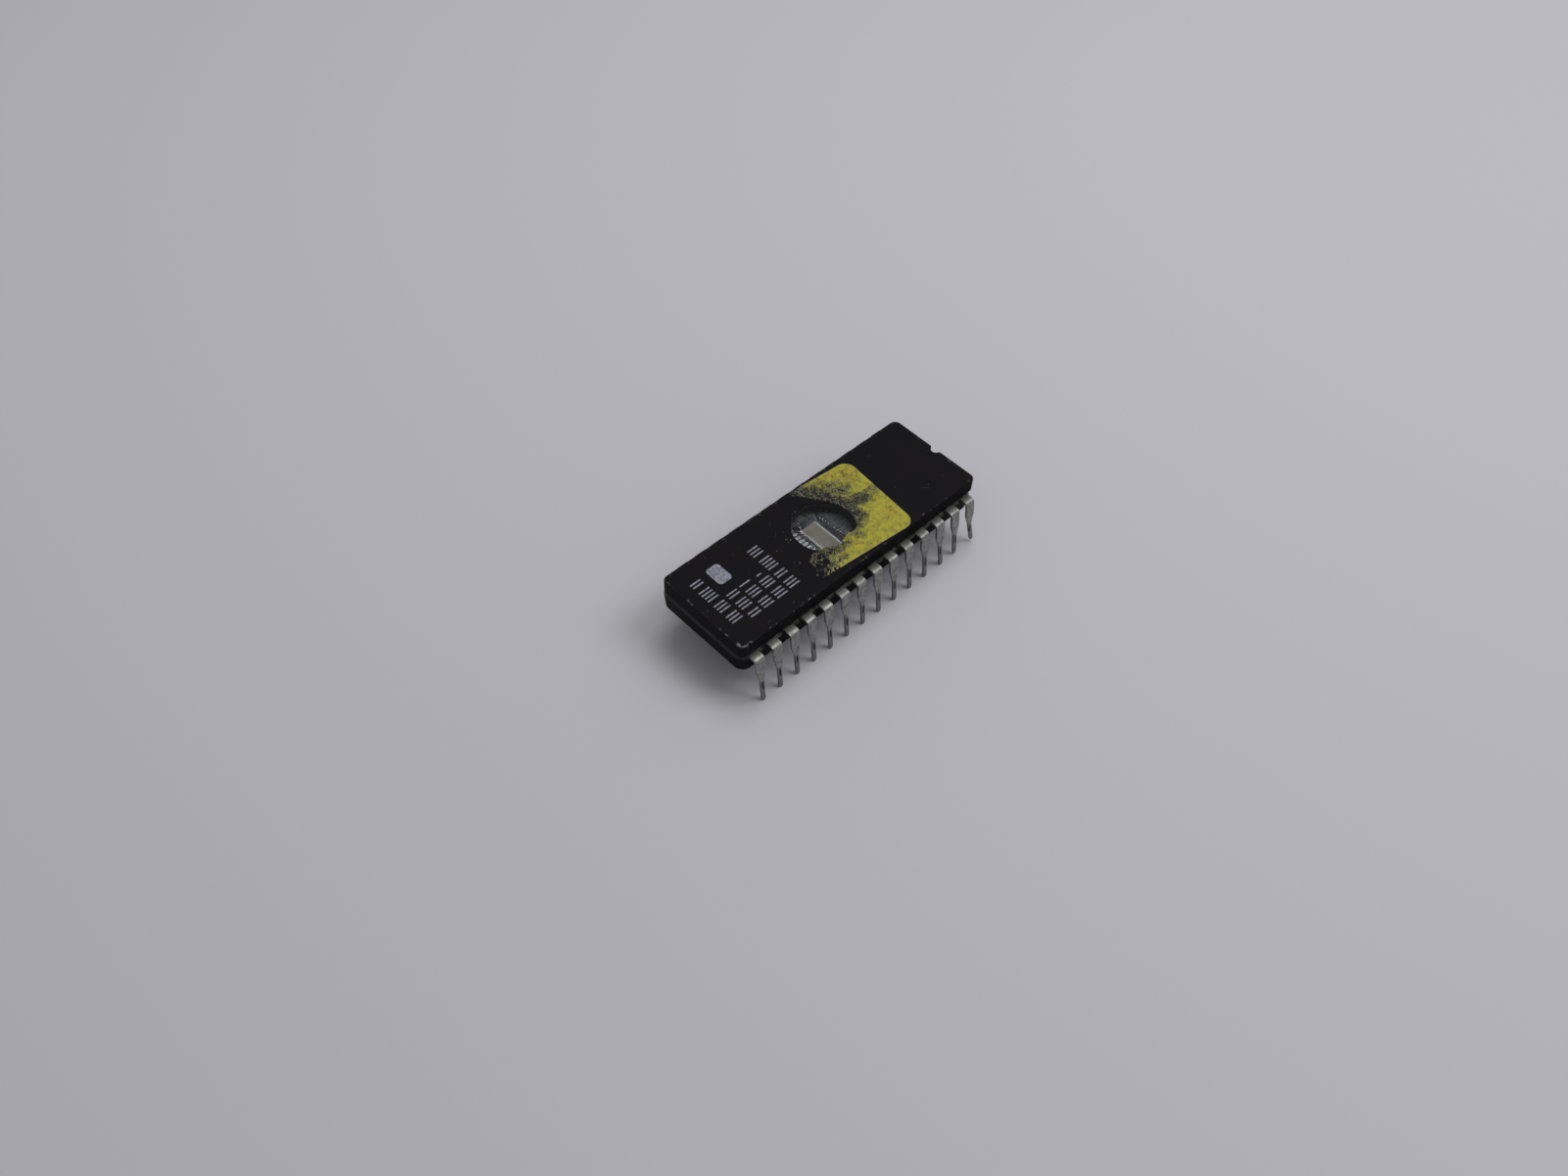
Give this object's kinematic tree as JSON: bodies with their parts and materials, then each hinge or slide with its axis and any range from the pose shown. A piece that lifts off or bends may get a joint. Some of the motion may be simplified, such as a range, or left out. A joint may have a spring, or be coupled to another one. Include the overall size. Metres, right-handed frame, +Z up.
{
  "type": "eprom chip",
  "caption": "Windowed ceramic dual-in-line memory chip: glass-sealed body with a round erase window, splayed leads and a torn paper label.",
  "frame": {"origin": "centre of the footprint, on the plane of the lead tips", "axes": "+X along the body to the end with the index notch, +Y to the row of leads 1 to 14, +Z up through the window"},
  "size_m": [0.0364, 0.0168, 0.0083],
  "materials": {
    "ceramic": "matt, pressed black alumina with scuffs",
    "seal_frit": "glossy dark grey-green solder glass",
    "lens_glass": "clear, ground flat",
    "silicon": "polished die face with a fine array",
    "silver_paste": "grainy silver-filled glass",
    "wire_aluminium": "bright drawn wire",
    "lead_tin": "tin-dipped nickel-iron, mottled and slightly tarnished",
    "label_paper": "yellow paper, scraped and dirty at the tear"
  },
  "bodies": {
    "root": {"ceramic_base": "ceramic", "ceramic_lid": "ceramic", "seal_glass": "seal_frit", "window_lens": "lens_glass", "die": "silicon", "die_attach": "silver_paste", "bond_wires": "wire_aluminium", "paper_label": "label_paper", "lead_01": "lead_tin", "lead_02": "lead_tin", "lead_03": "lead_tin", "lead_04": "lead_tin", "lead_05": "lead_tin", "lead_06": "lead_tin", "lead_07": "lead_tin", "lead_08": "lead_tin", "lead_09": "lead_tin", "lead_10": "lead_tin", "lead_11": "lead_tin", "lead_12": "lead_tin", "lead_13": "lead_tin", "lead_14": "lead_tin", "lead_15": "lead_tin", "lead_16": "lead_tin", "lead_17": "lead_tin", "lead_18": "lead_tin", "lead_19": "lead_tin", "lead_20": "lead_tin", "lead_21": "lead_tin", "lead_22": "lead_tin", "lead_23": "lead_tin", "lead_24": "lead_tin", "lead_25": "lead_tin", "lead_26": "lead_tin", "lead_27": "lead_tin", "lead_28": "lead_tin"}
  },
  "joints": []
}
